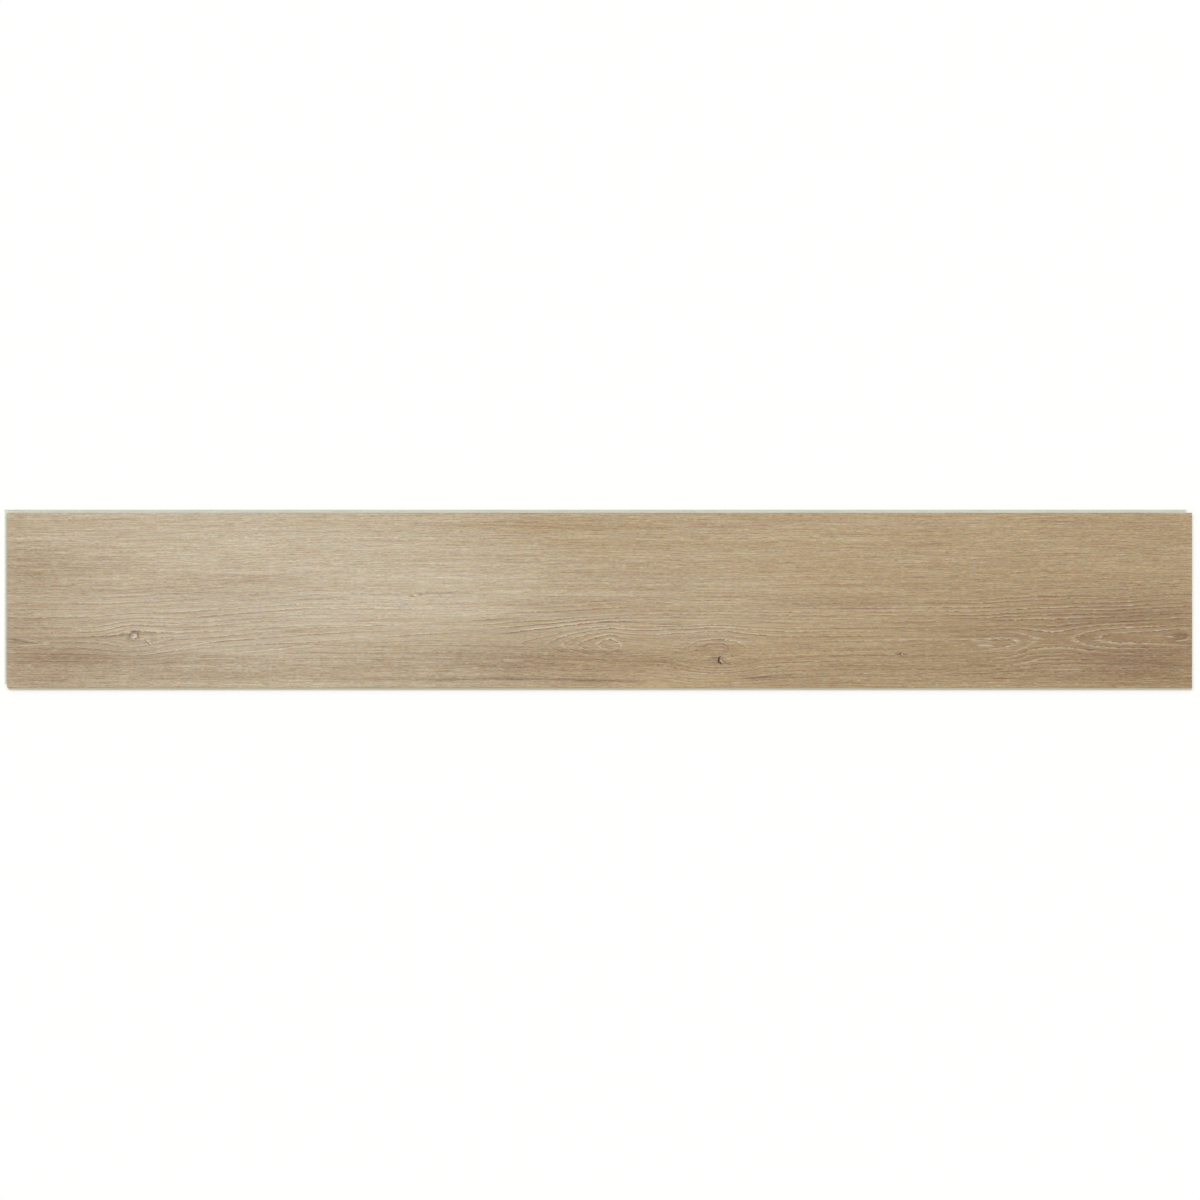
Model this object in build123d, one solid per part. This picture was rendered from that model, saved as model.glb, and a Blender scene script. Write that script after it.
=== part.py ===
"""Rigid-core click vinyl floor plank: a printed vinyl sheet bonded to a milled mineral-vinyl core.

The long sides lock by angling a tongue into a groove, and the ends lock by folding a hook down
onto a strip. Both halves of each lock come from the same sizes and one clearance, so that any
plank clicks to any other at a pitch of the printed face.
"""

import os

from build123d import *

# Printed face and layers, in millimetres
face_length = 1220.0  # end joint to end joint
face_width = 180.0  # side joint to side joint
vinyl_thickness = 0.7  # print film under a clear wear layer
core_thickness = 4.3
edge_bevel = 0.5  # micro-bevel round the printed face

# Clearance between the two halves of a lock
joint_gap = 0.1

# Long sides: tongue on -Y, groove and lower lip on +Y
tongue_reach = 2.0
tongue_thickness = 1.55
tongue_round = 0.6
lip_reach = 3.3
lip_thickness = 1.25
lip_play = 0.3  # free space past the lip's end, under the next plank
ridge_width = 1.4
ridge_height = 0.7
ridge_lean = 0.5  # the lock face leans out, so that the tongue can be angled in
ridge_round = 0.2

# Ends: strip with an upright hook on -X, matching fold-down hook on +X
strip_reach = 2.8
strip_thickness = 1.25
strip_play = 0.2
hook_width = 1.45
hook_height = 1.0  # low enough for the tongue to pass over the fold-down recess
hook_undercut = 0.12  # the hooks lean over each other, so that the joint can't lift
hook_round = 0.25

# Corners, where one cutter crosses the profile of the other
lip_setback = 5.8  # lower lip stops short of the fold-down end
tongue_setback = 1.3  # tongue starts past the strip end

# Heights of the long-side lock above the underside
tongue_floor = lip_thickness + joint_gap
tongue_ceiling = tongue_floor + tongue_thickness
groove_ceiling = tongue_ceiling + joint_gap
ridge_crest = lip_thickness + ridge_height
ridge_recess = ridge_crest + joint_gap

# Heights of the end lock above the underside
hook_crest = strip_thickness + hook_height
fold_floor = strip_thickness + joint_gap
fold_recess = hook_crest + joint_gap

# Depths of the two undercuts, in from the joint planes
side_undercut = lip_reach + lip_play
end_undercut = strip_reach + strip_play

# Middle of the whole outline, which stands on the origin
middle_x = (face_length - strip_reach) / 2
middle_y = (face_width + lip_reach - tongue_reach) / 2
to_origin = Pos(-middle_x, -middle_y, 0)


def ridge_face(height):
    """How far outside the joint plane the lip's lock face stands at a height."""
    foot = lip_reach - ridge_width
    return foot + ridge_lean * (height - lip_thickness) / ridge_height


def hook_face(height):
    """How far outside the joint plane the strip hook's lock face stands at a height."""
    foot = strip_reach - hook_width
    return foot - hook_undercut * (height - strip_thickness) / hook_height


def section(plane, corners):
    """A closed face on a plane, from (across, height, corner radius) in order."""
    points = [(across, height) for across, height, _ in corners]
    radii = [radius for _, _, radius in corners]
    with BuildSketch(plane) as profile:
        with BuildLine():
            FilletPolyline(*points, radius=radii, close=True)
        make_face()
    return profile.sketch


def side_section():
    """Section across the plank: tongue and undercut on the left, groove and lip on the right."""
    nose = min(tongue_round, 0.45 * tongue_thickness)
    crest = min(ridge_round, 0.3 * ridge_height)
    corners = [
        (side_undercut, 0, 0),
        (face_width + lip_reach, 0, 0),
        (face_width + lip_reach, ridge_crest, crest),
        (face_width + ridge_face(ridge_crest), ridge_crest, crest),
        (face_width + ridge_face(lip_thickness), lip_thickness, 0),
        (face_width - tongue_reach - joint_gap, lip_thickness, nose + joint_gap),
        (face_width - tongue_reach - joint_gap, groove_ceiling, nose + joint_gap),
        (face_width, groove_ceiling, 0),
        (face_width, core_thickness, 0),
        (0, core_thickness, 0),
        (0, tongue_ceiling, 0),
        (-tongue_reach, tongue_ceiling, nose),
        (-tongue_reach, tongue_floor, nose),
        (ridge_face(tongue_floor) - joint_gap, tongue_floor, crest),
        (ridge_face(ridge_recess) - joint_gap, ridge_recess, 0),
        (side_undercut, ridge_recess, 0),
    ]
    return section(Plane.YZ.offset(-strip_reach), corners)


def end_section():
    """Section along the plank: strip and hook on the left, fold-down hook on the right."""
    crest = min(hook_round, 0.3 * hook_height)
    corners = [
        (-strip_reach, 0, 0),
        (face_length - end_undercut, 0, 0),
        (face_length - end_undercut, fold_recess, 0),
        (face_length - hook_face(fold_recess) + joint_gap, fold_recess, 0),
        (face_length - hook_face(fold_floor) + joint_gap, fold_floor, crest),
        (face_length, fold_floor, crest),
        (face_length, core_thickness, 0),
        (0, core_thickness, 0),
        (0, strip_thickness, 0),
        (-hook_face(strip_thickness), strip_thickness, 0),
        (-hook_face(hook_crest), hook_crest, crest),
        (-strip_reach, hook_crest, crest),
    ]
    return section(Plane.XZ.offset(tongue_reach), corners)


def corner_cut(low_x, high_x, low_y, high_y):
    """The full-height block that a cutter clears at a corner of the plank."""
    size_x = high_x - low_x
    size_y = high_y - low_y
    block = Box(size_x, size_y, core_thickness, align=(Align.MIN, Align.MIN, Align.MIN))
    return Pos(low_x, low_y, 0) * block


def make_rigid_core():
    """The core board with its four milled edges and the clearances where they cross."""
    run_x = face_length + strip_reach
    run_y = face_width + tongue_reach + lip_reach
    along = extrude(side_section(), amount=run_x, dir=(1, 0, 0))
    across = extrude(end_section(), amount=run_y, dir=(0, 1, 0))
    lip_end = corner_cut(face_length - lip_setback, face_length, face_width, face_width + lip_reach)
    strip_end = corner_cut(-strip_reach, 0, -tongue_reach, side_undercut)
    tongue_start = corner_cut(0, tongue_setback, -tongue_reach, 0)
    return (along & across) - lip_end - strip_end - tongue_start


def make_printed_vinyl_sheet():
    """The printed sheet over the whole face, with its four upper edges bevelled."""
    sheet = Box(face_length, face_width, vinyl_thickness, align=(Align.MIN, Align.MIN, Align.MIN))
    upper_edges = sheet.faces().sort_by(Axis.Z)[-1].edges()
    bevelled = chamfer(upper_edges, min(edge_bevel, 0.75 * vinyl_thickness))
    return Pos(0, 0, core_thickness) * bevelled


os.makedirs("parts", exist_ok=True)
export_step(to_origin * make_rigid_core(), "parts/rigid_core.step")
export_step(to_origin * make_printed_vinyl_sheet(), "parts/printed_vinyl_sheet.step")
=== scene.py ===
"""Dresses a click vinyl floor plank: its embossed oak print, its pale milled core and a plain studio."""

import bpy
import numpy as np
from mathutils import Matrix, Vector, noise


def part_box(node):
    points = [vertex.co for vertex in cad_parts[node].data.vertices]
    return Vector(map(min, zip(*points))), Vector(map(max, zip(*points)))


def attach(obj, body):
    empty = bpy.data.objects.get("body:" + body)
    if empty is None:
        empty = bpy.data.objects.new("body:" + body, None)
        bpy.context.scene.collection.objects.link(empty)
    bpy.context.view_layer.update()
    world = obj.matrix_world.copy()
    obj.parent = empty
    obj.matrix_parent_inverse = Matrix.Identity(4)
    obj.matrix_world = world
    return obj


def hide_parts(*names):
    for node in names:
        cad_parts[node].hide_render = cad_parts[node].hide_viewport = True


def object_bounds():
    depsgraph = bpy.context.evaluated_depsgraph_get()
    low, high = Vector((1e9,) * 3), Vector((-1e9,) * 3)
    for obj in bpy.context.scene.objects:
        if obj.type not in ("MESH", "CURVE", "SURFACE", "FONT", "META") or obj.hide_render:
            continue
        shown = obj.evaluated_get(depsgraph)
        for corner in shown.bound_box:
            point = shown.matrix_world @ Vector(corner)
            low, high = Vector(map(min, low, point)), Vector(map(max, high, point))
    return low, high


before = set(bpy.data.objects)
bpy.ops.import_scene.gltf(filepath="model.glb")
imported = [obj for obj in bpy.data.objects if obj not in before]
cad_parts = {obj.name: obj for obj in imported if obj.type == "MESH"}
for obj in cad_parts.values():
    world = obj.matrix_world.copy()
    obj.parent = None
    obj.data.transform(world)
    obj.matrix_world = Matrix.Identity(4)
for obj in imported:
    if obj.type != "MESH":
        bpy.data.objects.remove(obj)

bl_info = {
    "name": "Vinyl floor plank",
    "version": (1, 0, 0),
    "blender": (4, 5, 0),
    "location": "View3D > Sidebar > Plank",
    "description": "Builds the printed face, the core's finish and the studio of a click vinyl floor plank",
    "category": "Object",
}

MM = 0.001  # metres in a millimetre
CAD_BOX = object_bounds()
SHEET_LOW, SHEET_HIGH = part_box("printed_vinyl_sheet")
SHEET_SIZE = SHEET_HIGH - SHEET_LOW
SHEET_MIDDLE = (SHEET_LOW + SHEET_HIGH) / 2
FACE_LENGTH = SHEET_SIZE.x / MM  # in millimetres
FACE_WIDTH = SHEET_SIZE.y / MM

# The printed board, in millimetres from the face's corner at the strip end and the tongue side.
# The heart line is where the cut passes nearest the pith: along, across, depth of the pith in rings.
HEART_LINE = [
    (0, 32, 11.8),
    (96, 32, 11.6),
    (147, 34, 11.0),
    (176, 36, 9.7),
    (209, 38, 9.1),
    (239, 40, 8.9),
    (311, 46, 9.0),
    (435, 47, 8.4),
    (472, 47, 8.0),
    (525, 46, 7.0),
    (557, 44, 6.0),
    (573, 44, 5.0),
    (587, 44, 4.0),
    (611, 44, 3.0),
    (620, 44, 2.3),
    (629, 44, 3.0),
    (641, 44, 3.4),
    (667, 43, 3.5),
    (690, 42, 3.3),
    (701, 40, 3.0),
    (708, 40, 2.5),
    (718, 40, 2.0),
    (731, 40, 1.8),
    (743, 40, 2.0),
    (753, 40, 2.5),
    (760, 40, 3.0),
    (774, 41, 3.4),
    (866, 43, 3.4),
    (1005, 44, 3.35),
    (1025, 46, 3.5),
    (1041, 47, 4.0),
    (1055, 49, 5.0),
    (1079, 49, 5.4),
    (1098, 50, 5.0),
    (1121, 50, 4.0),
    (1142, 50, 3.4),
    (1186, 52, 3.3),
    (1220, 53, 3.3),
]
HEART_MARGIN = 60.0  # how far it runs on past both ends of the face
HEART_EASING = 4.0  # how far its corners are rounded
FAR_EASING = 70.0  # the same well away from the heart, where the lines run flatter
HEART_REACH = 5.0  # rings over which the one turns into the other
ARCH_ROUNDNESS = 1.5  # 1 gives pointed arches, 2 round ones
ROUND_EYE = (731, 40, 45, 60, 0.8)  # where they are rounder: along, across, half length, half width, more
EVEN_RINGS = (5.8, 0.6)  # rings from the pith that are evenly spaced, and how softly that ends

# Slow wandering: by how much, length and width of its waves, seed
FIBRE_WANDER = [
    (1.5, 170.0, 45.0, 3.0),
    (0.4, 45.0, 14.0, 4.0),
]
RING_WANDER = (0.15, 90.0, 12.0, 7.0)  # by a share of a ring
RING_SPACING = (0.55, 2.3, 3.1, 9.0)  # by a share of a ring, its waves in rings too
LINE_WANDER = (0.7, 320.0, 11.0, 13.0)  # by a share of the line pitch

# Ring lines and straight lines, in millimetres
LINE_PITCH = 5.0  # between the straight lines of the quieter half
DARK_EDGE = 1.7  # wood that darkens towards a line
PALE_EDGE = 1.5  # wood that is paler after it
LIMED_EDGE = 3.6  # the same where lime has filled it
SHARP_EDGE = 0.3  # wood at full strength beside it
STAGGER = (3.0, 26.0)  # how far the fibres carry a line that crosses them to and fro, plain and limed
RING_FRAY = (1.8, 4.0)  # how far they fray a ring line, plain and limed
LINE_FRAY = 1.5  # how far they fray a straight line

# Strength of the lines, as shares
FAINT_RINGS = 0.12  # how strongly ring lines show outside their zones
FAINT_LINES = 0.08  # the same for straight lines
RING_LEAST = (0.05, 0.7)  # what is left of a ring line where it fades, plain and limed
LINE_LEAST = 0.3  # the same for a straight line

# Streaks along the grain: length, width, seed. Real pores are about 0.2 mm wide, and are drawn wider
# so that they show.
WARM_BANDS = (260, 9, 11)
DARK_BANDS = (180, 6, 17)
LONG_FIBRES = (70, 0.8, 23)
FIBRES = (22, 0.7, 31)
SHORT_FIBRES = (9, 0.7, 37)
FLECKS = (3.5, 0.7, 39)
CARRYING_FIBRES = (12, 0.9, 67)
RING_FADES = (130, 0.9, 43)  # width in rings
LINE_FADES = (260, 1.2, 47)  # width in lines
HUES = (13, 1.3, 59)
LIME_TICKS = (9, 0.8, 61)
GREY_PORES = (8, 0.8, 53)

# Ramps of the print: pattern from, pattern to, result from, result to
WARM_RAMP = (0.3, 0.7, -0.16, 0.16)  # soft bands to warmth
DARK_RAMP = (0.3, 0.7, -0.10, 0.14)  # soft bands to shade
LIVELY_RAMP = (0.0, 0.6, 0.78, 1.32)  # shade and warmth to the strength of the fibres
CALM_RAMP = (0.1, 0.8, 1.05, 0.65)  # lines to the strength of the fibres among them
CARRY_RAMP = (0.0, 1.0, -0.5, 0.5)  # fibres to the way they carry a line
UNLIMED_RAMP = (0.0, 1.0, 1.0, 0.45)  # lime to the strength of a ring's dark edge
LIGHT_RAMP = (-1.0, 1.0, -0.60, 0.60)  # fibres and lines to light
BROKEN_RAMP = (0.35, 0.60, 0.1, 0.9)  # short fibres to the lime that they hold
TICK_RAMP = (0.62, 0.78, 0.0, 0.4)  # streaks to ticks of lime
PORE_RAMP = (0.58, 0.75, 0.0, 0.6)  # streaks to grey pores
SHEEN_RAMP = (-0.5, 0.5, 0.56, 0.44)  # fibres and lines to roughness
RING_FADE = (0.40, 0.60)  # streaks between which a ring line fades in
LINE_FADE = (0.35, 0.65)  # the same for a straight line

# Weights of the print
WARM_WEIGHT = 0.15  # of warmth beside shade, for the strength of the fibres
DARK_WEIGHT = -0.90  # of a line's dark edge in the light
PALE_WEIGHT = 0.50  # of its pale edge in the light
TICK_WEIGHT = 0.12  # of the pale edges among the ticks
PORE_WEIGHT = 0.15  # of the dark edges among the pores
PORE_DEPTH = -0.5  # of the pores in the relief
FACE_BUMP = (0.35, 0.08)  # strength of the fine relief, and its depth in millimetres

# Gains on red, green and blue
LIGHT_GAIN = (0.69, 1.0, 1.21)  # for light
HUE_SPREAD = (0.42, 0.16, 0.46)  # for the hues of single fibres
HUE_LEAST = (0.79, 0.92, 0.77)  # the least of these

# Broad tones at the strip end, and what they gain towards the fold-down end
WARMTH = 0.28
WARMTH_STEP = 0.50  # gained in one soft step
STEP_PLACE = (560, 60)  # where that is along the board, and how softly it goes
WARMTH_GAIN = 0.22
SHADE = 0.05
SHADE_GAIN = 0.10

# Pressed grain: how deep each kind goes, as shares of the whole depth
RING_PRESS = 0.75
LINE_PRESS = 0.5
FIBRE_PRESS = 0.6
COARSE_FIBRES = (1.0, 45.0, 2.4, 5.0)  # by how much, length, width, seed
COARSE_LIFT = 0.1  # raises the share of the face that they cover
GROOVE_PLACE = 0.9  # where a line's groove lies on the way from the line before
GROOVE_SPREAD = 0.12  # its half width on that way
SMOOTH_ANGLE = 25  # degrees up to which faces are shaded as one

# Rows of the UV square: where each starts, and how high it is
FACE_ROW = (0.10, 0.90)
BACK_ROW = (0.05, 0.04)
EDGE_ROWS = (0.0, 0.012, 0.024, 0.036)
EDGE_HEIGHT = 0.008
FLAT = 0.3  # a normal this steep belongs to the face, its bevel or the back
UPRIGHT = 0.8  # a normal this level belongs to a cut edge

# Where the grain parts round a knot: along, across, half length, half width, strength
GRAIN_SWELLS = [
    (131, 53, 32, 16, 0.85),
    (620, 44, 22, 14, 0.30),
    (731, 42, 45, 18, 0.30),
    (733, 28, 24, 9, 0.60),
    (419, 95, 14, 5, 0.60),
    (1208, 52, 24, 8, 0.60),
    (920, 35, 14, 5, 0.60),
]

# Where the ring lines show most: along, across, half length, half width, strength
RING_ZONES = [
    (250, 46, 130, 16, 0.75),
    (185, 36, 45, 14, 0.30),
    (510, 62, 110, 18, 0.72),
    (560, 58, 60, 20, 0.12),
    (620, 62, 90, 24, 0.45),
    (621, 44, 26, 12, 0.15),
    (745, 52, 34, 10, 0.60),
    (731, 14, 50, 8, 0.30),
    (698, 40, 12, 8, -0.20),
    (731, 30, 26, 5, -0.15),
    (770, 62, 120, 18, 0.50),
    (790, 16, 140, 12, 0.40),
    (1060, 74, 150, 22, 0.80),
    (1040, 44, 150, 18, 0.40),
    (1080, 24, 150, 16, 0.26),
    (1170, 72, 100, 24, 0.72),
]

# Where the straight lines show most, in the same order
LINE_ZONES = [
    (150, 74, 190, 26, 0.55),
    (131, 60, 45, 16, 0.22),
    (131, 53, 15, 6, -0.55),
    (80, 40, 110, 14, 0.45),
    (330, 80, 100, 14, 0.08),
    (400, 130, 300, 30, 0.06),
    (850, 95, 160, 20, 0.48),
    (120, 28, 150, 8, 0.22),
    (440, 42, 80, 12, 0.30),
    (660, 18, 90, 9, 0.38),
    (870, 20, 120, 14, 0.45),
]

# Where lime has filled the rings, in the same order
LIME_ZONES = [
    (575, 46, 26, 12, 0.30),
    (620, 44, 20, 10, 0.55),
    (742, 47, 30, 8, 0.40),
    (920, 47, 45, 5, 0.60),
    (1055, 28, 36, 6, 0.50),
    (1100, 48, 160, 8.5, 0.92),
    (1120, 26, 100, 14, 0.20),
]

# Broad patches of the print: along, across, half length, half width, warmth, shade
TONE_PATCHES = [
    (250, 156, 190, 26, -0.20, -0.10),
    (435, 92, 130, 40, -0.35, -0.25),
    (20, 120, 60, 26, 0.15, 0.28),
    (200, 100, 130, 12, 0.00, 0.12),
    (60, 32, 130, 22, 0.05, 0.32),
    (30, 40, 80, 40, 0.05, 0.18),
    (225, 60, 125, 58, -0.42, 0.03),
    (705, 88, 105, 52, -0.27, 0.02),
    (310, 20, 150, 14, 0.05, 0.18),
    (570, 28, 160, 14, 0.00, 0.44),
    (690, 8, 60, 8, 0.10, -0.18),
    (560, 168, 90, 16, 0.30, 0.05),
    (880, 88, 80, 8, -0.10, 0.20),
    (930, 20, 170, 20, 0.20, 0.22),
    (1170, 80, 80, 20, 0.15, 0.32),
    (1190, 26, 80, 26, 0.05, 0.45),
    (1130, 122, 70, 14, 0.00, -0.12),
    (1175, 45, 90, 50, 0.00, 0.18),
    (1080, 20, 90, 30, 0.10, 0.18),
    (515, 62, 100, 30, 0.00, 0.16),
    (900, 50, 150, 18, 0.05, 0.08),
    (1080, 100, 120, 40, 0.08, 0.08),
    (1095, 58, 56, 22, 0.05, 0.23),
    (1000, 50, 45, 16, 0.00, 0.12),
    (150, 16, 80, 18, 0.00, 0.12),
    (560, 90, 50, 16, 0.00, 0.10),
    (1110, 130, 110, 20, 0.05, 0.06),
    (1190, 80, 50, 20, 0.20, 0.00),
    (750, 158, 70, 18, -0.11, 0.00),
    (15, 72, 30, 12, 0.05, 0.20),
    (20, 6, 50, 8, 0.05, 0.15),
    (15, 162, 40, 20, 0.08, 0.10),
    (990, 64, 70, 16, 0.05, 0.16),
    (425, 24, 60, 8, 0.00, -0.12),
    (600, 9, 45, 8, 0.05, 0.12),
    (870, 170, 70, 9, -0.05, -0.08),
    (800, 138, 50, 9, 0.00, -0.08),
    (1052, 28, 40, 10, 0.12, 0.08),
    (800, 8, 60, 7, 0.05, 0.09),
    (1155, 51, 40, 6, 0.00, -0.10),
    (1186, 52, 14, 6, 0.00, -0.12),
    (480, 7, 170, 8, 0.00, 0.09),
    (405, 57, 45, 10, 0.00, 0.08),
    (1142, 106, 40, 12, 0.00, 0.08),
]

# Soft shading under the fibres, most of it round the knots: colour, along, across, half length,
# half width, turn in degrees, strength
HALOS = [
    ("brown_oak", 12, 46.5, 16.0, 2.8, 0, 0.25),
    ("dark_fleck", 131, 53.5, 9.0, 6.5, 0, 0.22),
    ("brown_oak", 731, 28.5, 11.0, 5.0, 0, 0.45),
    ("brown_oak", 732, 40.6, 22.0, 8.5, 0, 0.22),
    ("pale_oak", 731, 40.3, 9.0, 3.4, 0, 0.25),
    ("brown_oak", 417.0, 94.6, 5.0, 1.6, 0, 0.35),
    ("brown_oak", 920, 34.9, 7.4, 2.2, 0, 0.45),
    ("brown_oak", 1208, 52.3, 14.0, 7.0, 0, 0.25),
    ("brown_oak", 1207.4, 52.6, 9.6, 4.4, 4, 0.70),
]

# Single dark streaks along the fibres, in the same order
DARK_STREAKS = [
    ("dark_fleck", 15, 47.8, 15.0, 1.1, -11, 0.50),
    ("dark_fleck", 321, 91.5, 34.0, 1.2, 2.5, 0.35),
    ("dark_fleck", 440, 97.2, 26.0, 1.1, 1.5, 0.28),
    ("dark_fleck", 455, 8.8, 36.0, 1.2, 0, 0.35),
    ("dark_fleck", 502, 9.6, 24.0, 1.2, -1, 0.52),
    ("dark_fleck", 528, 9.0, 26.0, 1.4, 0, 0.62),
    ("dark_fleck", 575, 8.4, 30.0, 1.4, -1, 0.50),
    ("dark_fleck", 606, 7.2, 28.0, 1.4, 0, 0.52),
    ("dark_fleck", 628, 67.6, 28.0, 1.2, -1.5, 0.40),
    ("dark_fleck", 640, 7.0, 20.0, 1.2, 0, 0.35),
    ("dark_fleck", 680, 65.2, 28.0, 1.2, -3, 0.40),
    ("dark_fleck", 768, 9.8, 16.0, 1.2, 4, 0.40),
    ("dark_fleck", 780, 10.6, 16.0, 1.3, 6, 0.50),
    ("dark_fleck", 1150, 27.6, 28.0, 1.8, -4, 0.32),
    ("dark_fleck", 1196, 24.2, 26.0, 1.8, -4, 0.38),
]

# Crisp marks drawn one by one, in the same order
SOUND_KNOT = [
    ("knot_brown", 131.2, 57.9, 3.9, 1.0, -6, 0.48),
    ("knot_brown", 135.0, 54.4, 1.0, 3.4, 6, 0.50),
    ("knot_brown", 126.2, 53.5, 0.9, 2.8, 0, 0.32),
    ("pale_fleck", 131.2, 53.0, 2.9, 2.6, 0, 0.60),
    ("knot_brown", 129.8, 53.6, 1.0, 0.9, 0, 0.50),
    ("knot_brown", 132.4, 50.5, 1.5, 0.9, 0, 0.50),
    ("knot_brown", 124.8, 50.2, 2.6, 0.8, 0, 0.35),
    ("pale_fleck", 147.0, 45.9, 4.4, 0.8, -45, 0.28),
    ("dark_fleck", 144.4, 46.2, 4.6, 0.7, -43, 0.55),
    ("dark_fleck", 151.0, 49.3, 4.0, 0.7, -8, 0.35),
]
ROUND_EYE_RIM = [
    ("brown_oak", 729.0, 44.6, 10.5, 0.9, 0, 0.58),
    ("brown_oak", 739.4, 43.4, 3.6, 1.0, -28, 0.62),
    ("brown_oak", 742.2, 40.4, 1.3, 2.6, 10, 0.62),
    ("brown_oak", 739.8, 37.2, 2.8, 0.8, 25, 0.45),
    ("brown_oak", 718.6, 42.6, 3.4, 0.8, 25, 0.40),
]
SPLIT_KNOT = [
    ("dark_fleck", 728.5, 30.3, 3.4, 0.9, 0, 0.55),
    ("grey_fleck", 727.5, 27.2, 3.4, 0.8, 0, 0.50),
    ("dark_fleck", 742.3, 24.6, 4.4, 0.7, -15, 0.60),
    ("dark_fleck", 746.4, 32.8, 1.9, 0.9, -50, 0.55),
    ("dark_fleck", 709.8, 38.4, 1.8, 0.8, 0, 0.55),
    ("pale_fleck", 735.4, 27.4, 1.0, 1.5, 15, 0.42),
    ("split", 732.7, 28.6, 1.05, 3.5, -6, 1.00),
    ("split", 734.5, 25.2, 2.0, 0.9, -38, 0.95),
    ("split", 733.9, 31.6, 1.4, 0.7, 35, 0.80),
]
PIN_KNOT = [
    ("dark_fleck", 416.6, 94.4, 1.0, 1.0, 0, 0.32),
    ("pale_fleck", 419.6, 95.4, 1.3, 1.0, 0, 0.65),
    ("dark_fleck", 425.2, 95.6, 2.4, 0.8, 0, 0.40),
]
END_KNOT = [
    ("pale_fleck", 1209.5, 48.6, 7.0, 0.9, 7, 0.32),
    ("pale_fleck", 1216.2, 51.4, 2.4, 0.8, 45, 0.26),
    ("pale_fleck", 1197.6, 52.4, 3.4, 0.8, -8, 0.32),
    ("brown_oak", 1207.6, 54.2, 7.0, 0.9, 3, 0.55),
    ("dark_fleck", 1204.6, 53.0, 4.6, 0.7, 4, 0.32),
    ("dark_fleck", 1210.6, 51.4, 3.4, 0.7, 8, 0.30),
    ("dark_fleck", 1210.4, 55.8, 4.2, 0.7, -8, 0.36),
    ("knot_brown", 1214, 44.9, 10.0, 0.9, 0, 0.45),
]
SPECK = [
    ("dark_fleck", 917, 35.3, 4.5, 0.8, 0, 0.40),
    ("knot_brown", 920, 34.9, 1.4, 1.0, 0, 0.70),
    ("pale_fleck", 921.6, 34.5, 0.8, 0.7, 0, 0.55),
]
LIMED_CHECKS = [
    ("pale_fleck", 21, 49.4, 11.0, 0.6, -10, 0.30),
    ("pale_fleck", 26, 43.9, 17.0, 0.6, 2.5, 0.30),
    ("pale_fleck", 40, 46.0, 4.0, 1.6, 0, 0.22),
    ("pale_fleck", 1007, 43.4, 8.5, 1.0, 0, 0.42),
    ("pale_fleck", 1003, 48.2, 11.0, 0.7, -2, 0.35),
    ("pale_fleck", 1046, 26.0, 8.5, 0.6, 9, 0.28),
    ("pale_fleck", 1061, 29.0, 8.0, 0.6, 13, 0.32),
    ("pale_fleck", 1080, 31.0, 12.0, 0.6, 2, 0.28),
    ("pale_fleck", 1093, 18.8, 17.0, 0.6, 0, 0.28),
]
MARKS = [
    *SOUND_KNOT,
    *ROUND_EYE_RIM,
    *SPLIT_KNOT,
    *PIN_KNOT,
    *END_KNOT,
    *SPECK,
    *LIMED_CHECKS,
]
SOFT_EDGE = (1.3, 0.4)  # where a halo or streak starts and is full, as shares of its half size
CRISP_EDGE = (1.2, 0.7)  # the same for a mark
ROUGH_SPOTS = 0.7  # to a millimetre, which roughen the edges of all these
ROUGHENING = (1.6, 1.2)  # how far they do, along and across

# Finish of the core, as spots to a millimetre. Real filler is finer, and is drawn coarser so that it shows.
GRIT = 0.9
COMB = (0.016, 1.1, 1.1)  # drawn out along the plank
CLOUDS = 0.04
GRIT_RAMP = (0.52, 0.72, 0.0, 0.6)  # spots to darker filler
COMB_RAMP = (0.45, 0.75, 0.0, 0.4)
CLOUD_RAMP = (0.45, 0.75, 0.0, 0.2)
CORE_BUMP = (0.3, 0.05)  # strength of the combed relief, and its depth in millimetres
TONGUE_SHADE = 0.7  # painted shade: how far the core browns towards the tongue, which lies in the shade of the face's edge
TONGUE_SHADE_REACH = 0.4  # either side of the face's edge, over which it sets in

# Studio
SUN_FROM = Vector((-0.6, 0.9, 3.0))
FLOOR_DROP = 0.2 * MM  # how far the floor lies under the plank, so that the two don't share a plane
CAMERA_PLACE = (1.9 * MM, -0.4 * MM)  # over the plank
CLIP_END = 100.0


def linear(code):
    """A colour written as an sRGB hex value, in the linear light that shaders use."""
    parts = [int(code[i : i + 2], 16) / 255 for i in (1, 3, 5)]
    return tuple(c / 12.92 if c <= 0.04045 else ((c + 0.055) / 1.055) ** 2.4 for c in parts)


def opaque(colour):
    """A colour property with the fourth number that a colour socket takes."""
    return (*colour, 1.0)


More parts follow.
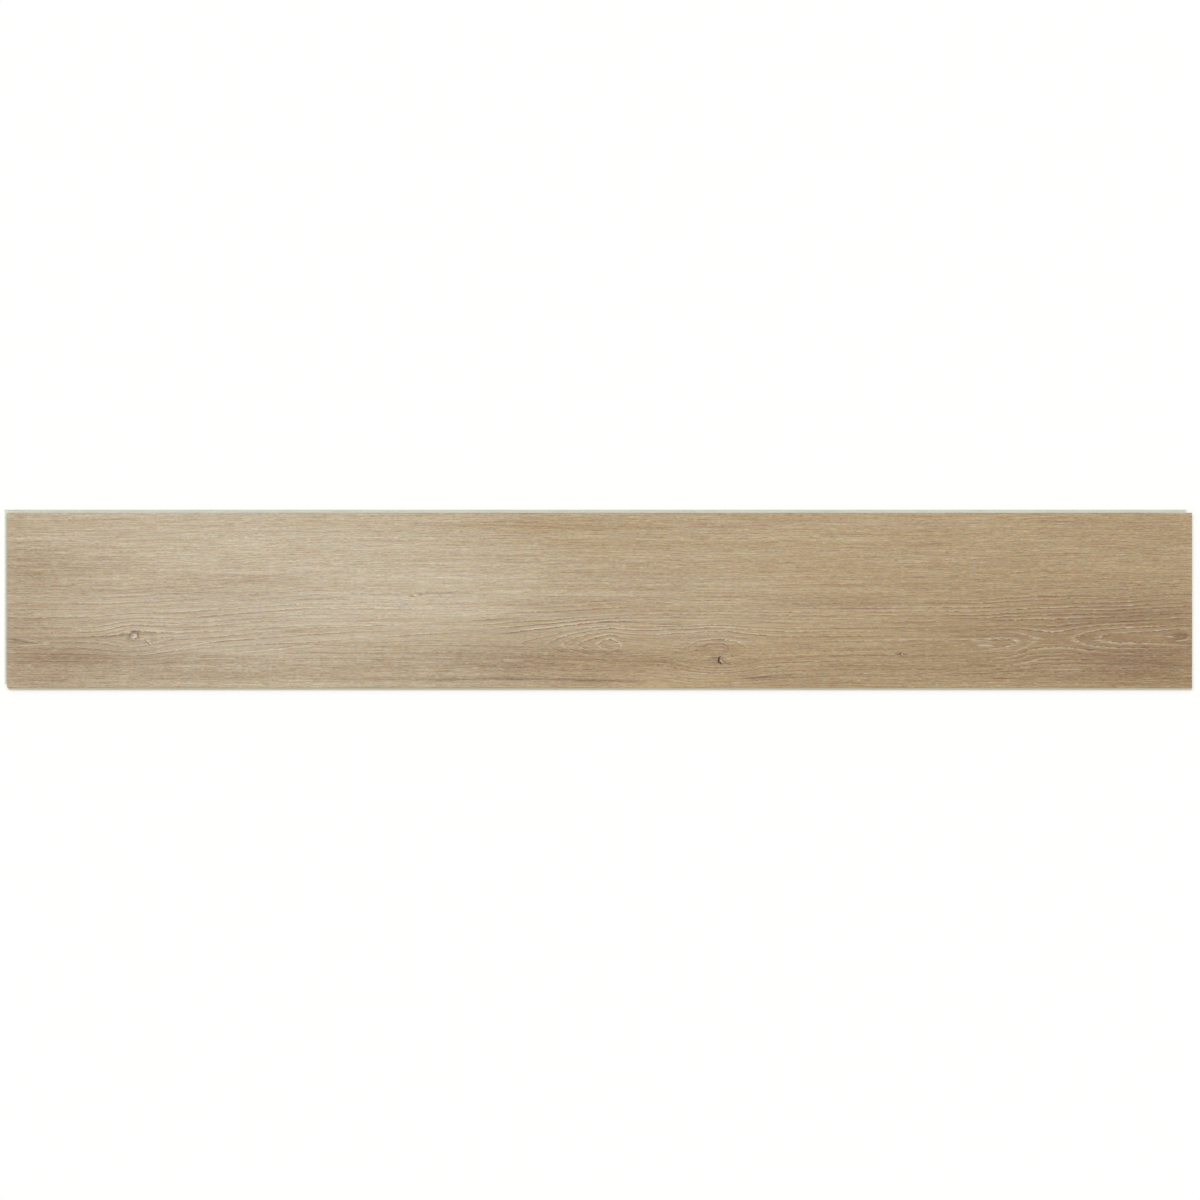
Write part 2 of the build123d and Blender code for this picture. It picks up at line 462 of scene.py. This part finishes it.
class PrintedFaceSettings(bpy.types.PropertyGroup):
    """Sizes and colours of the printed sheet"""

    columns: bpy.props.IntProperty(name="Columns", description="Faces along the sheet", default=390, min=4)
    rows: bpy.props.IntProperty(name="Rows", description="Faces across the sheet", default=240, min=4)
    bevel: bpy.props.FloatProperty(
        name="Bevel",
        description="Micro-bevel round the face",
        default=0.5 * MM,
        precision=5,
        unit="LENGTH",
    )
    emboss: bpy.props.FloatProperty(
        name="Emboss",
        description="Depth of the pressed grain",
        default=0.07 * MM,
        precision=5,
        unit="LENGTH",
    )
    ring_pitch: bpy.props.FloatProperty(
        name="Ring pitch",
        description="Wood between two ring lines",
        default=3.7 * MM,
        precision=5,
        unit="LENGTH",
    )
    pale_oak: bpy.props.FloatVectorProperty(
        name="Limed oak", description="Palest wood", default=linear("#BFB096"), subtype="COLOR"
    )
    tan_oak: bpy.props.FloatVectorProperty(
        name="Tan oak", description="Warm wood", default=linear("#AE966F"), subtype="COLOR"
    )
    brown_oak: bpy.props.FloatVectorProperty(
        name="Brown oak", description="Shaded wood", default=linear("#805F39"), subtype="COLOR"
    )
    dark_fleck: bpy.props.FloatVectorProperty(
        name="Dark fleck", description="Single streaks", default=linear("#6E5742"), subtype="COLOR"
    )
    pale_fleck: bpy.props.FloatVectorProperty(
        name="Pale fleck", description="Lime left in the pores", default=linear("#D9D1BA"), subtype="COLOR"
    )
    grey_fleck: bpy.props.FloatVectorProperty(
        name="Grey fleck", description="Cool pores", default=linear("#958A88"), subtype="COLOR"
    )
    knot_brown: bpy.props.FloatVectorProperty(
        name="Knot", description="Rim of a knot", default=linear("#55432F"), subtype="COLOR"
    )
    split: bpy.props.FloatVectorProperty(
        name="Split", description="Open crack in a knot", default=linear("#3A1C08"), subtype="COLOR"
    )


class RigidCoreSettings(bpy.types.PropertyGroup):
    """Colours of the core, and the painted shade on its tongue"""

    body: bpy.props.FloatVectorProperty(
        name="Body", description="Filled vinyl", default=linear("#DDDCD0"), subtype="COLOR"
    )
    filler: bpy.props.FloatVectorProperty(
        name="Filler", description="Darker grains of filler", default=linear("#C4C3B6"), subtype="COLOR"
    )
    # Painted shade: the tongue lies in the shade of the face's edge, and its colour is the core's darkened
    # and browned for it
    tongue: bpy.props.FloatVectorProperty(
        name="Tongue", description="Browner edge of the tongue", default=linear("#B2A484"), subtype="COLOR"
    )


class StudioSettings(bpy.types.PropertyGroup):
    """Floor, light and camera"""

    floor: bpy.props.FloatVectorProperty(
        name="Floor", description="Plain pale floor", default=linear("#FAFAF8"), subtype="COLOR"
    )
    floor_size: bpy.props.FloatProperty(
        name="Floor size", description="Side of the floor", default=24.0, unit="LENGTH"
    )
    view_width: bpy.props.FloatProperty(
        name="View width", description="Width of the picture at the face", default=1.2353, unit="LENGTH"
    )
    lens: bpy.props.FloatProperty(
        name="Lens", description="Focal length", default=135.0, unit="CAMERA"
    )
    sky: bpy.props.FloatProperty(name="Sky", description="Even light from all round", default=0.74)
    key: bpy.props.FloatProperty(name="Key", description="Soft light from the lip side", default=1.08)
    key_angle: bpy.props.FloatProperty(
        name="Key angle", description="How wide that light is", default=np.radians(50), subtype="ANGLE"
    )


def output_of(node):
    """The first output of a node that is in use."""
    return next(output for output in node.outputs if output.enabled)


def add_node(tree, kind, *inputs, **settings):
    """Adds a node, sets it up, and fills its inputs in order with values or with other nodes' outputs."""
    made = tree.nodes.new("ShaderNode" + kind)
    for name, value in settings.items():
        setattr(made, name, value)
    shown = [socket for socket in made.inputs if socket.enabled]
    for socket, value in zip(shown, inputs):
        if isinstance(value, bpy.types.Node):
            value = output_of(value)
        if isinstance(value, bpy.types.NodeSocket):
            tree.links.new(value, socket)
        else:
            socket.default_value = value
    return made


def new_material(name):
    """An empty material, with its shader and the shader's output."""
    material = bpy.data.materials.new(name)
    material.use_nodes = True
    tree = material.node_tree
    tree.nodes.clear()
    shader = add_node(tree, "BsdfPrincipled")
    add_node(tree, "OutputMaterial", shader)
    return material, tree, shader


def eased(places, values, along, easing):
    """A smooth line through values at places along the board."""
    even = np.arange(-HEART_MARGIN, round(FACE_LENGTH) + HEART_MARGIN + 1)
    line = np.interp(even, places, values)
    # A bell curve is next to nothing past three times its spread
    reach = np.arange(-3 * easing, 3 * easing + 1)
    weight = np.exp(-0.5 * (reach / easing) ** 2)
    padded = np.pad(line, len(reach) // 2, mode="edge")
    return np.interp(along, even, np.convolve(padded, weight / weight.sum(), mode="valid"))


def drift(along, across, wave):
    """Slow wandering to and fro: by how much, the length and width of its waves, and their seed."""
    reach, length, width, seed = wave
    places = zip(along / length, across / width)
    return reach * np.array([noise.noise(Vector((x, y, seed))) for x, y in places])


def rise(value, middle, width):
    """A soft step from 0 to 1."""
    return 1 / (1 + np.exp(-(value - middle) / width))


def nearness(along, across, patch):
    """How near each point is to a soft oval patch: 1 at its middle, 0 well outside."""
    middle, height, half_length, half_width = patch[:4]
    return np.exp(-(((along - middle) / half_length) ** 2) - ((across - height) / half_width) ** 2)


def zoned(along, across, zones):
    """The strength that a list of zones adds up to at each point."""
    return sum(zone[4] * nearness(along, across, zone) for zone in zones)


def grain_field(along, across, ring_pitch):
    """For each point of the face: its place along the board, across the fibres and out from the pith, and
    how far it is beside the heart line."""
    fibre = across
    for wave in FIBRE_WANDER:
        fibre = fibre + drift(along, across, wave)
    for swell in GRAIN_SWELLS:
        fibre = fibre - swell[4] * (across - swell[1]) * nearness(along, across, swell)
    places, heights, depths = np.array(HEART_LINE, float).T
    beside = fibre - eased(places, heights, along, HEART_EASING)
    sideways = np.abs(beside) / ring_pitch
    far = eased(places, depths, along, FAR_EASING)
    close = eased(places, depths, along, HEART_EASING)
    outwards = far + (close - far) * np.exp(-((sideways / HEART_REACH) ** 2))
    roundness = ARCH_ROUNDNESS + ROUND_EYE[4] * nearness(along, across, ROUND_EYE)
    rings = (sideways**roundness + outwards**roundness) ** (1 / roundness)
    uneven = drift(rings, rings, RING_SPACING) * rise(rings, *EVEN_RINGS)
    rings = rings + drift(along, fibre, RING_WANDER) + uneven
    return np.stack([along, fibre, rings], 1), beside


def ring_slope(along, across, ring_pitch):
    """Rings in a millimetre at each point of the face: along the board, across it and in all."""
    here = grain_field(along, across, ring_pitch)[0][:, 2]
    lengthwise = grain_field(along + 1, across, ring_pitch)[0][:, 2] - here
    crosswise = grain_field(along, across + 1, ring_pitch)[0][:, 2] - here
    return np.stack([lengthwise, crosswise, np.hypot(lengthwise, crosswise)], 1)


def tone_field(along, across):
    """For each point of the face: how warm the wood is, how shaded, and how much lime its rings hold."""
    warmth = WARMTH + WARMTH_STEP * rise(along, *STEP_PLACE) + WARMTH_GAIN * along / FACE_LENGTH
    shade = SHADE + SHADE_GAIN * along / FACE_LENGTH
    for patch in TONE_PATCHES:
        near = nearness(along, across, patch)
        warmth = warmth + patch[4] * near
        shade = shade + patch[5] * near
    lime = zoned(along, across, LIME_ZONES)
    return np.clip(np.stack([warmth, shade, lime], 1), 0, 1)


def figure_field(along, across, beside):
    """For each point of the face: its place among the straight lines, and how strongly the straight
    lines and the ring lines show."""
    lines = beside / LINE_PITCH + drift(along, beside, LINE_WANDER)
    line_strength = FAINT_LINES + zoned(along, across, LINE_ZONES)
    ring_strength = FAINT_RINGS + zoned(along, across, RING_ZONES)
    return np.stack([lines, line_strength, ring_strength], 1)


def model_sheet(settings):
    """Models the sheet as a closed slab: a fine grid for the face, a bevel, cut edges and a back."""
    inner_x = SHEET_SIZE.x - 2 * settings.bevel
    inner_y = SHEET_SIZE.y - 2 * settings.bevel
    bpy.ops.object.select_all(action="DESELECT")
    bpy.ops.mesh.primitive_grid_add(x_subdivisions=settings.columns, y_subdivisions=settings.rows, size=1.0)
    sheet = bpy.context.active_object
    sheet.name = "printed_oak_face"
    sheet.data.name = sheet.name
    bpy.ops.object.mode_set(mode="EDIT")
    bpy.ops.mesh.select_all(action="SELECT")
    bpy.ops.transform.resize(value=(inner_x, inner_y, 1.0), center_override=(0.0, 0.0, 0.0))
    bpy.ops.transform.translate(value=(SHEET_MIDDLE.x, SHEET_MIDDLE.y, SHEET_HIGH.z))
    bpy.ops.mesh.region_to_loop()
    bpy.ops.mesh.extrude_region_move(TRANSFORM_OT_translate={"value": (0.0, 0.0, -settings.bevel)})
    spread = (SHEET_SIZE.x / inner_x, SHEET_SIZE.y / inner_y, 1.0)
    bpy.ops.transform.resize(value=spread, center_override=SHEET_MIDDLE)
    to_back = settings.bevel - SHEET_SIZE.z
    bpy.ops.mesh.extrude_region_move(TRANSFORM_OT_translate={"value": (0.0, 0.0, to_back)})
    bpy.ops.mesh.extrude_region_move(TRANSFORM_OT_translate={"value": (0.0, 0.0, 0.0)})
    bpy.ops.mesh.merge(type="CENTER")
    bpy.ops.mesh.select_all(action="SELECT")
    bpy.ops.mesh.normals_make_consistent(inside=False)
    bpy.ops.object.mode_set(mode="OBJECT")
    return sheet


def face_places(sheet):
    """Each point's place in millimetres along and across the face, and its height."""
    points = np.empty(len(sheet.data.vertices) * 3)
    sheet.data.vertices.foreach_get("co", points)
    points = points.reshape(-1, 3)
    return (points[:, 0] - SHEET_LOW.x) / MM, (points[:, 1] - SHEET_LOW.y) / MM, points[:, 2]


def store(sheet, name, values):
    """Keeps three numbers for each point, for the material to read."""
    layer = sheet.data.attributes.new(name, "FLOAT_VECTOR", "POINT")
    layer.data.foreach_set("vector", values.astype(np.float32).ravel())


def groove(number):
    """How deep the grooves are at each point, from the number that counts the lines."""
    return np.exp(-(((number % 1.0 - GROOVE_PLACE) / GROOVE_SPREAD) ** 2))


def emboss(sheet, grain, figure, settings):
    """Presses the ring lines, the straight lines and the coarse fibres into the face."""
    along, fibre, rings = grain.T
    lines, line_strength, ring_strength = figure.T
    ring_line = groove(rings) * ring_strength
    straight_line = groove(lines) * line_strength
    coarse = np.clip(drift(along, fibre, COARSE_FIBRES) + COARSE_LIFT, 0, 1)
    depth = np.clip(RING_PRESS * ring_line + LINE_PRESS * straight_line + FIBRE_PRESS * coarse, 0, 1)
    on_face = face_places(sheet)[2] > SHEET_HIGH.z - settings.bevel / 2
    group = sheet.vertex_groups.new(name="emboss")
    for index in np.flatnonzero(on_face):
        group.add([int(index)], float(depth[index]), "REPLACE")
    press = sheet.modifiers.new("emboss", "DISPLACE")
    press.direction = "Z"
    press.mid_level = 0.0
    press.strength = -settings.emboss
    press.vertex_group = group.name
    bpy.ops.object.modifier_apply(modifier=press.name)
    sheet.vertex_groups.clear()
    bpy.ops.object.shade_smooth_by_angle(angle=np.radians(SMOOTH_ANGLE))


def lay_out(sheet):
    """Gives the face nearly all of the UV square, with the back and the four cut edges in rows below."""
    mesh = sheet.data
    along, across, height = face_places(sheet)
    corners = np.empty(len(mesh.loops), int)
    mesh.loops.foreach_get("vertex_index", corners)
    lengthwise = along[corners] / FACE_LENGTH
    crosswise = across[corners] / FACE_WIDTH
    upright = (height[corners] - SHEET_LOW.z) / SHEET_SIZE.z
    counts = np.empty(len(mesh.polygons), int)
    mesh.polygons.foreach_get("loop_total", counts)
    normals = np.empty(len(mesh.polygons) * 3)
    mesh.polygons.foreach_get("normal", normals)
    x, y, z = np.repeat(normals.reshape(-1, 3), counts, axis=0).T
    u = np.where(np.abs(x) > UPRIGHT, crosswise, lengthwise)
    sides = [z > FLAT, z < -FLAT, y < -UPRIGHT, y > UPRIGHT, x < -UPRIGHT, x > UPRIGHT]
    rows = [start + high * crosswise for start, high in (FACE_ROW, BACK_ROW)]
    rows += [start + EDGE_HEIGHT * upright for start in EDGE_ROWS]
    v = np.select(sides, rows)
    layer = mesh.uv_layers.new(name="OFBake")
    layer.data.foreach_set("uv", np.stack([u, v], 1).astype(np.float32).ravel())


def streaks(tree, places, length, width, seed, detail=1.0):
    """Noise drawn out along the grain, its spots this long and wide."""
    size = (1 / length, 1 / width, 0.0)
    drawn = add_node(tree, "VectorMath", places, size, (seed, seed, seed), operation="MULTIPLY_ADD")
    return add_node(tree, "TexNoise", drawn, 1.0, detail)


def grain_lines(tree, number, slope, ragged, fray, pale_edge, strength):
    """Thin lines at the whole values of a number: how dark the wood ends before one, and how pale it
    starts after it."""
    wander = add_node(tree, "Math", ragged, fray, operation="MULTIPLY")
    frayed = add_node(tree, "Math", wander, slope, number, operation="MULTIPLY_ADD")
    part = add_node(tree, "Math", frayed, operation="FRACT")
    left = add_node(tree, "Math", 1.0, part, operation="SUBTRACT")
    before = add_node(tree, "Math", left, slope, operation="DIVIDE")
    after = add_node(tree, "Math", part, slope, operation="DIVIDE")
    steps = {"interpolation_type": "SMOOTHSTEP"}
    dark = add_node(tree, "MapRange", before, DARK_EDGE, SHARP_EDGE, 0.0, strength, **steps)
    pale = add_node(tree, "MapRange", after, pale_edge, SHARP_EDGE, 0.0, strength, **steps)
    return dark, pale


def draw_mark(tree, places, colour, settings, mark, edge):
    """Lays one oval mark over the print, as a gradient, which takes little room in the shader."""
    ink, along, across, half_length, half_width, turn, strength = mark
    start, full = edge
    middle = (SHEET_LOW.x + along * MM, SHEET_LOW.y + across * MM, SHEET_HIGH.z)
    turned = (0.0, 0.0, np.radians(turn))
    size = (start * half_length * MM, start * half_width * MM, 1.0)
    local = add_node(tree, "Mapping", places, middle, turned, size, vector_type="TEXTURE")
    inwards = add_node(tree, "TexGradient", local, gradient_type="SPHERICAL").outputs["Fac"]
    ramp = (0.0, 1 - full / start, 0.0, strength)
    share = add_node(tree, "MapRange", inwards, *ramp, interpolation_type="SMOOTHSTEP")
    return add_node(tree, "Mix", share, colour, getattr(settings, ink), data_type="VECTOR")


def printed_oak_vinyl(settings):
    """Oak print under a clear wear layer: matt, tan to limed grey, with fine fibres and thin ring lines."""
    material, tree, shader = new_material("printed_oak_vinyl")
    grain = add_node(tree, "Attribute", attribute_name="grain").outputs["Vector"]
    tone = add_node(tree, "Attribute", attribute_name="tone").outputs["Vector"]
    figure = add_node(tree, "Attribute", attribute_name="figure").outputs["Vector"]
    places = add_node(tree, "TexCoord").outputs["Object"]
    along, _, rings = add_node(tree, "SeparateXYZ", grain).outputs
    warmth, shade, lime = add_node(tree, "SeparateXYZ", tone).outputs
    lines, line_strength, ring_strength = add_node(tree, "SeparateXYZ", figure).outputs
    slopes = add_node(tree, "Attribute", attribute_name="ring_slope").outputs["Vector"]
    slope_along, _, slope = add_node(tree, "SeparateXYZ", slopes).outputs

    # Broad wood colour, with long soft bands along the board, halos and streaks. Colours are mixed as
    # vectors, because that too keeps the shader small enough to render.
    bands = add_node(tree, "MapRange", streaks(tree, grain, *WARM_BANDS), *WARM_RAMP)
    warm = add_node(tree, "Math", warmth, bands, operation="ADD")
    colour = add_node(tree, "Mix", warm, settings.pale_oak, settings.tan_oak, data_type="VECTOR")
    dusk = add_node(tree, "MapRange", streaks(tree, grain, *DARK_BANDS), *DARK_RAMP)
    dark = add_node(tree, "Math", shade, dusk, operation="ADD")
    colour = add_node(tree, "Mix", dark, colour, settings.brown_oak, data_type="VECTOR")

    rough = add_node(tree, "TexNoise", places, ROUGH_SPOTS / MM).outputs["Color"]
    shake = Vector((*ROUGHENING, 0.0)) * MM
    shaken = add_node(tree, "VectorMath", rough, shake, places, operation="MULTIPLY_ADD")
    settled = add_node(tree, "VectorMath", shaken, shake / 2, operation="SUBTRACT")
    for shading in (*HALOS, *DARK_STREAKS):
        colour = draw_mark(tree, settled, colour, settings, shading, SOFT_EDGE)

    # Fibres of four lengths, stronger where the wood is darker or warmer
    long_fibres = streaks(tree, grain, *LONG_FIBRES)
    fibres = streaks(tree, grain, *FIBRES)
    short_fibres = streaks(tree, grain, *SHORT_FIBRES)
    flecks = streaks(tree, grain, *FLECKS)
    longer = add_node(tree, "Math", long_fibres, fibres, operation="ADD")
    shorter = add_node(tree, "Math", short_fibres, flecks, operation="ADD")
    mixed = add_node(tree, "Math", longer, shorter, operation="ADD")
    mixed = add_node(tree, "Math", mixed, 2.0, operation="SUBTRACT")
    worn = add_node(tree, "Math", warmth, WARM_WEIGHT, shade, operation="MULTIPLY_ADD")
    lively = add_node(tree, "MapRange", worn, *LIVELY_RAMP)
    mixed = add_node(tree, "Math", mixed, lively, operation="MULTIPLY")

    # Ring lines and straight lines, each fading in and out along its length and frayed by the fibres
    ragged = add_node(tree, "Math", short_fibres, flecks, operation="ADD")
    ragged = add_node(tree, "Math", ragged, 1.0, operation="SUBTRACT")
    carried = add_node(tree, "MapRange", streaks(tree, grain, *CARRYING_FIBRES), *CARRY_RAMP)
    stagger = add_node(tree, "MapRange", lime, 0.0, 1.0, *STAGGER)
    carried = add_node(tree, "Math", carried, stagger, operation="MULTIPLY")
    staggered = add_node(tree, "Math", carried, slope_along, rings, operation="MULTIPLY_ADD")
    fray = add_node(tree, "MapRange", lime, 0.0, 1.0, *RING_FRAY)
    ring_places = add_node(tree, "CombineXYZ", along, rings, 0.0)
    ring_least = add_node(tree, "MapRange", lime, 0.0, 1.0, *RING_LEAST)
    ring_fades = streaks(tree, ring_places, *RING_FADES)
    ring_fading = add_node(tree, "MapRange", ring_fades, *RING_FADE, ring_least, 1.0)
    ring_showing = add_node(tree, "Math", ring_strength, ring_fading, operation="MULTIPLY")
    pale_edge = add_node(tree, "MapRange", lime, 0.0, 1.0, PALE_EDGE, LIMED_EDGE)
    ring_end, ring_start = grain_lines(tree, staggered, slope, ragged, fray, pale_edge, ring_showing)
    line_places = add_node(tree, "CombineXYZ", along, lines, 0.0)
    line_fades = streaks(tree, line_places, *LINE_FADES)
    line_fading = add_node(tree, "MapRange", line_fades, *LINE_FADE, LINE_LEAST, 1.0)
    line_showing = add_node(tree, "Math", line_strength, line_fading, operation="MULTIPLY")
    line_slope = 1 / LINE_PITCH
    line_end, line_start = grain_lines(tree, lines, line_slope, ragged, LINE_FRAY, PALE_EDGE, line_showing)
    unlimed = add_node(tree, "MapRange", lime, *UNLIMED_RAMP)
    ends = add_node(tree, "Math", ring_end, unlimed, line_end, operation="MULTIPLY_ADD")
    starts = add_node(tree, "Math", ring_start, line_start, operation="ADD")
    lined = add_node(tree, "Math", ring_strength, line_strength, operation="MAXIMUM")
    calm = add_node(tree, "MapRange", lined, *CALM_RAMP)
    value = add_node(tree, "Math", mixed, calm, operation="MULTIPLY")
    value = add_node(tree, "Math", ends, DARK_WEIGHT, value, operation="MULTIPLY_ADD")
    value = add_node(tree, "Math", starts, PALE_WEIGHT, value, operation="MULTIPLY_ADD")
    light = add_node(tree, "MapRange", value, *LIGHT_RAMP, interpolation_type="SMOOTHSTEP")
    hues = streaks(tree, grain, *HUES, detail=2.0).outputs["Color"]
    gain = add_node(tree, "VectorMath", hues, HUE_SPREAD, HUE_LEAST, operation="MULTIPLY_ADD")
    gain = add_node(tree, "VectorMath", light, LIGHT_GAIN, gain, operation="MULTIPLY_ADD")
    colour = add_node(tree, "VectorMath", colour, gain, operation="MULTIPLY")
    broken = add_node(tree, "MapRange", short_fibres, *BROKEN_RAMP)
    limed = add_node(tree, "Math", ring_start, lime, operation="MULTIPLY")
    limed = add_node(tree, "Math", limed, broken, operation="MULTIPLY")
    colour = add_node(tree, "Mix", limed, colour, settings.pale_fleck, data_type="VECTOR")

    # Short ticks of lime, and cool grey pores, most of them along the lines
    lime_ticks = streaks(tree, grain, *LIME_TICKS)
    limed_wood = add_node(tree, "Math", starts, TICK_WEIGHT, lime_ticks, operation="MULTIPLY_ADD")
    ticks = add_node(tree, "MapRange", limed_wood, *TICK_RAMP)
    colour = add_node(tree, "Mix", ticks, colour, settings.pale_fleck, data_type="VECTOR")
    grey_pores = streaks(tree, grain, *GREY_PORES)
    open_wood = add_node(tree, "Math", ends, PORE_WEIGHT, grey_pores, operation="MULTIPLY_ADD")
    pores = add_node(tree, "MapRange", open_wood, *PORE_RAMP)
    colour = add_node(tree, "Mix", pores, colour, settings.grey_fleck, data_type="VECTOR")

    # Knots and checks, their edges roughened
    for mark in MARKS:
        colour = draw_mark(tree, settled, colour, settings, mark, CRISP_EDGE)

    # Fine relief and sheen of the wear layer
    tree.links.new(output_of(colour), shader.inputs["Base Color"])
    height = add_node(tree, "Math", pores, PORE_DEPTH, value, operation="MULTIPLY_ADD")
    strength, depth = FACE_BUMP
    bump = add_node(tree, "Bump")
    bump.inputs["Strength"].default_value = strength
    bump.inputs["Distance"].default_value = depth * MM
    tree.links.new(output_of(height), bump.inputs["Height"])
    tree.links.new(output_of(bump), shader.inputs["Normal"])
    roughness = add_node(tree, "MapRange", value, *SHEEN_RAMP)
    tree.links.new(output_of(roughness), shader.inputs["Roughness"])
    shader.inputs["IOR"].default_value = 1.5
    return material


def milled_mineral_vinyl(settings):
    """Stone-filled rigid vinyl: pale grey-cream and dull, speckled by its filler, combed by cutters, with
    painted shade towards the tongue.
    """
    material, tree, shader = new_material("milled_mineral_vinyl")
    places = add_node(tree, "TexCoord").outputs["Object"]
    grit = add_node(tree, "TexNoise", places, GRIT / MM)
    combed_places = add_node(tree, "VectorMath", places, Vector(COMB) / MM, operation="MULTIPLY")
    combed = add_node(tree, "TexNoise", combed_places, 1.0)
    cloudy = add_node(tree, "TexNoise", places, CLOUDS / MM)
    share = add_node(tree, "MapRange", grit, *GRIT_RAMP)
    for pattern, ramp in ((combed, COMB_RAMP), (cloudy, CLOUD_RAMP)):
        more = add_node(tree, "MapRange", pattern, *ramp)
        share = add_node(tree, "Math", share, more, operation="ADD")
    colour = add_node(tree, "Mix", share, opaque(settings.body), opaque(settings.filler), data_type="RGBA")
    # Painted shade: the core is coloured browner towards the tongue, which lies in the shade of the face's
    # edge
    across = add_node(tree, "SeparateXYZ", places).outputs["Y"]
    inside = SHEET_LOW.y + TONGUE_SHADE_REACH * MM
    outside = SHEET_LOW.y - TONGUE_SHADE_REACH * MM
    tongue_shade = add_node(tree, "MapRange", across, inside, outside, 0.0, TONGUE_SHADE)
    colour = add_node(tree, "Mix", tongue_shade, colour, opaque(settings.tongue), data_type="RGBA")
    tree.links.new(output_of(colour), shader.inputs["Base Color"])
    strength, depth = CORE_BUMP
    bump = add_node(tree, "Bump")
    bump.inputs["Strength"].default_value = strength
    bump.inputs["Distance"].default_value = depth * MM
    tree.links.new(output_of(combed), bump.inputs["Height"])
    tree.links.new(output_of(bump), shader.inputs["Normal"])
    shader.inputs["Roughness"].default_value = 0.72
    shader.inputs["IOR"].default_value = 1.54
    return material


def painted_floor(settings):
    """Matt white paint: even, with hardly any sheen."""
    material, tree, shader = new_material("matt_white_paint")
    shader.inputs["Base Color"].default_value = opaque(settings.floor)
    shader.inputs["Roughness"].default_value = 0.9
    shader.inputs["Specular IOR Level"].default_value = 0.1
    return material


class PLANK_OT_printed_face(bpy.types.Operator):
    """Model the printed sheet, press its grain and give it the oak print"""

    bl_idname = "plank.printed_face"
    bl_label = "Printed oak face"

    def execute(self, context):
        settings = context.scene.plank_face
        sheet = model_sheet(settings)
        along, across, _ = face_places(sheet)
        grain, beside = grain_field(along, across, settings.ring_pitch / MM)
        figure = figure_field(along, across, beside)
        emboss(sheet, grain, figure, settings)
        store(sheet, "grain", grain)
        store(sheet, "ring_slope", ring_slope(along, across, settings.ring_pitch / MM))
        store(sheet, "tone", tone_field(along, across))
        store(sheet, "figure", figure)
        lay_out(sheet)
        sheet.data.materials.append(printed_oak_vinyl(settings))
        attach(sheet, "root")
        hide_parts("printed_vinyl_sheet")
        return {"FINISHED"}


class PLANK_OT_rigid_core(bpy.types.Operator):
    """Give the milled core its filled-vinyl finish"""

    bl_idname = "plank.rigid_core"
    bl_label = "Rigid core finish"

    def execute(self, context):
        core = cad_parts["rigid_core"]
        core.material_slots[0].material = milled_mineral_vinyl(context.scene.plank_core)
        return {"FINISHED"}


class PLANK_OT_studio(bpy.types.Operator):
    """Set up the floor, the soft light and the camera over the plank"""

    bl_idname = "plank.studio"
    bl_label = "Studio"

    def execute(self, context):
        settings = context.scene.plank_studio
        scene = context.scene
        bpy.ops.object.select_all(action="DESELECT")
        under = (0.0, 0.0, CAD_BOX[0].z - FLOOR_DROP)
        bpy.ops.mesh.primitive_plane_add(size=settings.floor_size, location=under)
        floor = context.active_object
        floor.name = "floor"
        floor.data.materials.append(painted_floor(settings))
        world = bpy.data.worlds.new("soft_sky")
        scene.world = world
        world.use_nodes = True
        sky = world.node_tree.nodes["Background"]
        sky.inputs["Color"].default_value = (1.0, 1.0, 1.0, 1.0)
        sky.inputs["Strength"].default_value = settings.sky
        bpy.ops.object.light_add(type="SUN", location=SUN_FROM)
        key = context.active_object
        key.name = "soft_key"
        key.data.energy = settings.key
        key.data.angle = settings.key_angle
        key.rotation_euler = SUN_FROM.to_track_quat("Z", "Y").to_euler()
        bpy.ops.object.camera_add()
        camera = context.active_object
        camera.name = "overhead"
        camera.data.lens = settings.lens
        away = settings.view_width * settings.lens / camera.data.sensor_width
        camera.location = (*CAMERA_PLACE, SHEET_HIGH.z + away)
        camera.rotation_euler = (0.0, 0.0, 0.0)  # straight down
        camera.data.clip_end = CLIP_END
        scene.camera = camera
        scene.view_settings.view_transform = "Standard"
        return {"FINISHED"}


class PLANK_PT_builder(bpy.types.Panel):
    """Lists the steps and their settings"""

    bl_label = "Vinyl floor plank"
    bl_idname = "PLANK_PT_builder"
    bl_space_type = "VIEW_3D"
    bl_region_type = "UI"
    bl_category = "Plank"

    def draw(self, context):
        for step, group in STEPS:
            self.layout.operator(step.bl_idname)
            settings = getattr(context.scene, group)
            for name in settings.bl_rna.properties.keys():
                if name not in ("rna_type", "name"):
                    self.layout.prop(settings, name)


STEPS = (
    (PLANK_OT_printed_face, "plank_face"),
    (PLANK_OT_rigid_core, "plank_core"),
    (PLANK_OT_studio, "plank_studio"),
)
GROUPS = {
    "plank_face": PrintedFaceSettings,
    "plank_core": RigidCoreSettings,
    "plank_studio": StudioSettings,
}
CLASSES = (*GROUPS.values(), *(step for step, _ in STEPS), PLANK_PT_builder)


def register():
    """Adds the settings, steps and panel to Blender."""
    for made in CLASSES:
        bpy.utils.register_class(made)
    for name, group in GROUPS.items():
        setattr(bpy.types.Scene, name, bpy.props.PointerProperty(type=group))


def unregister():
    """Takes them out again."""
    for name in GROUPS:
        delattr(bpy.types.Scene, name)
    for made in reversed(CLASSES):
        bpy.utils.unregister_class(made)


def main():
    """Builds the plank's looks in order."""
    register()
    bpy.ops.plank.printed_face()
    bpy.ops.plank.rigid_core()
    bpy.ops.plank.studio()


if __name__ == "__main__":
    main()
